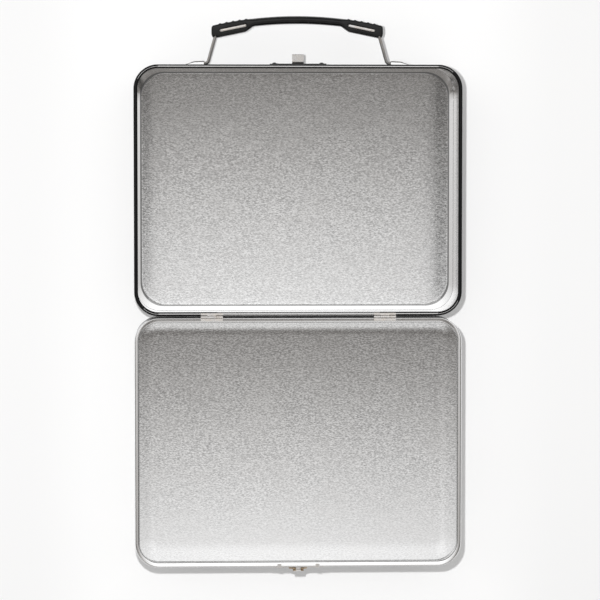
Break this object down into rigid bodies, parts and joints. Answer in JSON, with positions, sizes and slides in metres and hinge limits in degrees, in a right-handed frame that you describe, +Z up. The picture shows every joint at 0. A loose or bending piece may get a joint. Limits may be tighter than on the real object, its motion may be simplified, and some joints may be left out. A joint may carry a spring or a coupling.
{
  "type": "metal lunch box",
  "caption": "Tin lunch box with a deep body, a hinged lid lying open flat, a swinging plastic carry handle and a hasp that closes over a keeper hook.",
  "frame": {"origin": "centre of the body's back panel, on the surface the open box lies on", "axes": "+X along the hinge line, +Y from the lid towards the handle, +Z up out of the open box"},
  "size_m": [0.216, 0.3674, 0.0596],
  "materials": {
    "tin_enamelled": "gloss black enamel outside, bare tin inside",
    "tin_bare": "bare tinplate with a fine rolled grain",
    "nickel": "satin nickel plate",
    "blackened_steel": "black enamel on thin steel",
    "brass": "worn brass",
    "black_plastic": "moulded plastic with a soft sheen"
  },
  "bodies": {
    "body": {"body_wall": "tin_enamelled", "body_panel": "tin_bare", "hinge_leaf_body_left": "nickel", "hinge_leaf_body_right": "nickel", "hinge_pin_left": "nickel", "hinge_pin_right": "nickel", "keeper_plate": "blackened_steel", "keeper_hook": "nickel", "keeper_rivets": "blackened_steel"},
    "lid": {"lid_wall": "tin_enamelled", "lid_panel": "tin_bare", "hinge_leaf_lid_left": "nickel", "hinge_leaf_lid_right": "nickel", "hasp_plate": "nickel", "hasp_rivets": "nickel", "hasp_pin": "brass"},
    "hasp": {"hasp": "nickel"},
    "handle": {"handle_grip": "black_plastic", "handle_wire_left": "nickel", "handle_wire_right": "nickel"}
  },
  "joints": [
    {"name": "lid_hinge", "type": "hinge", "parent": "body", "child": "lid", "pos_m": [0, -0.08315, 0.0585], "axis": [-1, 0, 0], "range_deg": [0, 180]},
    {"name": "hasp_hinge", "type": "hinge", "parent": "lid", "child": "hasp", "pos_m": [0, -0.2509, 0.053], "axis": [-1, 0, 0], "range_deg": [0, 180]},
    {"name": "handle_hinge", "type": "hinge", "parent": "body", "child": "handle", "pos_m": [0, 0.0838, 0.04], "axis": [1, 0, 0], "range_deg": [-70, 70]}
  ]
}
